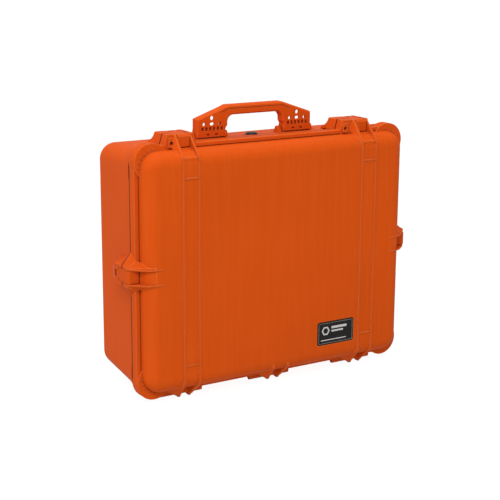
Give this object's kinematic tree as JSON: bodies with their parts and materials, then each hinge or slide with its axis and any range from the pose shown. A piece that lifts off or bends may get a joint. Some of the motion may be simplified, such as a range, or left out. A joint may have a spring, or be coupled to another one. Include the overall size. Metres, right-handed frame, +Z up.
{
  "type": "hard equipment case",
  "caption": "Hard equipment case with a hinged domed lid, claw latches, a folding carry handle, a purge valve and padlock holes.",
  "frame": {"origin": "bottom centre of the bounding box, under the hinge side that the case stands on", "axes": "+X to the right across the width, the lid faces -Y, +Z up towards the handle"},
  "size_m": [0.62, 0.22, 0.526],
  "materials": {
    "case_plastic": "fine moulded grain, satin",
    "latch_plastic": "smooth moulded, satin",
    "handle_plastic": "moulded, satin",
    "steel_pin": "ground bright",
    "steel_bush": "turned",
    "seal_rubber": "matte",
    "valve_plastic": "satin black",
    "nameplate_film": "printed film, satin"
  },
  "bodies": {
    "base": {"base_shell": "case_plastic", "hinge_1_pin": "steel_pin", "hinge_2_pin": "steel_pin", "hinge_3_pin": "steel_pin", "latch_pivot_pin_top_left": "steel_pin", "latch_pivot_pin_top_right": "steel_pin", "latch_pivot_pin_side_left": "steel_pin", "latch_pivot_pin_side_right": "steel_pin", "handle_pin_left": "steel_pin", "handle_pin_right": "steel_pin", "purge_valve_body": "valve_plastic", "purge_valve_ring": "seal_rubber", "purge_valve_nut": "valve_plastic", "base_padlock_bushes": "steel_bush"},
    "lid": {"lid_shell": "case_plastic", "lid_gasket": "seal_rubber", "nameplate": "nameplate_film", "lid_padlock_bushes": "steel_bush"},
    "handle": {"handle": "handle_plastic"},
    "valve_knob": {"purge_valve_knob": "valve_plastic"},
    "lever_top_left": {"latch_lever_top_left": "latch_plastic", "latch_claw_pin_top_left": "steel_pin"},
    "claw_top_left": {"latch_claw_top_left": "latch_plastic"},
    "lever_top_right": {"latch_lever_top_right": "latch_plastic", "latch_claw_pin_top_right": "steel_pin"},
    "claw_top_right": {"latch_claw_top_right": "latch_plastic"},
    "lever_side_left": {"latch_lever_side_left": "latch_plastic", "latch_claw_pin_side_left": "steel_pin"},
    "claw_side_left": {"latch_claw_side_left": "latch_plastic"},
    "lever_side_right": {"latch_lever_side_right": "latch_plastic", "latch_claw_pin_side_right": "steel_pin"},
    "claw_side_right": {"latch_claw_side_right": "latch_plastic"}
  },
  "joints": [
    {"name": "lid_hinge", "type": "hinge", "parent": "base", "child": "lid", "pos_m": [0, -0.0595, 0.0064], "axis": [1, 0, 0], "range_deg": [0, 100]},
    {"name": "handle_fold", "type": "hinge", "parent": "base", "child": "handle", "pos_m": [0, 0.0065, 0.4725], "axis": [-1, 0, 0], "range_deg": [0, 88]},
    {"name": "valve_turn", "type": "hinge", "parent": "base", "child": "valve_knob", "pos_m": [0, 0.006, 0.4658], "axis": [0, 0, 1], "range_deg": [0, 180]},
    {"name": "lever_top_left_throw", "type": "hinge", "parent": "base", "child": "lever_top_left", "pos_m": [-0.195, -0.0375, 0.478], "axis": [1, 0, 0], "range_deg": [0, 60]},
    {"name": "claw_top_left_release", "type": "hinge", "parent": "lever_top_left", "child": "claw_top_left", "pos_m": [-0.195, -0.0375, 0.486], "axis": [1, 0, 0], "range_deg": [-96, 0]},
    {"name": "lever_top_right_throw", "type": "hinge", "parent": "base", "child": "lever_top_right", "pos_m": [0.195, -0.0375, 0.478], "axis": [1, 0, 0], "range_deg": [0, 60]},
    {"name": "claw_top_right_release", "type": "hinge", "parent": "lever_top_right", "child": "claw_top_right", "pos_m": [0.195, -0.0375, 0.486], "axis": [1, 0, 0], "range_deg": [-96, 0]},
    {"name": "lever_side_left_throw", "type": "hinge", "parent": "base", "child": "lever_side_left", "pos_m": [-0.297, -0.0375, 0.243], "axis": [0, 0, 1], "range_deg": [0, 60]},
    {"name": "claw_side_left_release", "type": "hinge", "parent": "lever_side_left", "child": "claw_side_left", "pos_m": [-0.305, -0.0375, 0.243], "axis": [0, 0, 1], "range_deg": [-96, 0]},
    {"name": "lever_side_right_throw", "type": "hinge", "parent": "base", "child": "lever_side_right", "pos_m": [0.297, -0.0375, 0.243], "axis": [0, 0, -1], "range_deg": [0, 60]},
    {"name": "claw_side_right_release", "type": "hinge", "parent": "lever_side_right", "child": "claw_side_right", "pos_m": [0.305, -0.0375, 0.243], "axis": [0, 0, -1], "range_deg": [-96, 0]}
  ],
  "couplings": [
    {"joint": "claw_top_left_release", "follows": "lever_top_left_throw", "ratio": -1.6},
    {"joint": "claw_top_right_release", "follows": "lever_top_right_throw", "ratio": -1.6},
    {"joint": "claw_side_left_release", "follows": "lever_side_left_throw", "ratio": -1.6},
    {"joint": "claw_side_right_release", "follows": "lever_side_right_throw", "ratio": -1.6}
  ]
}
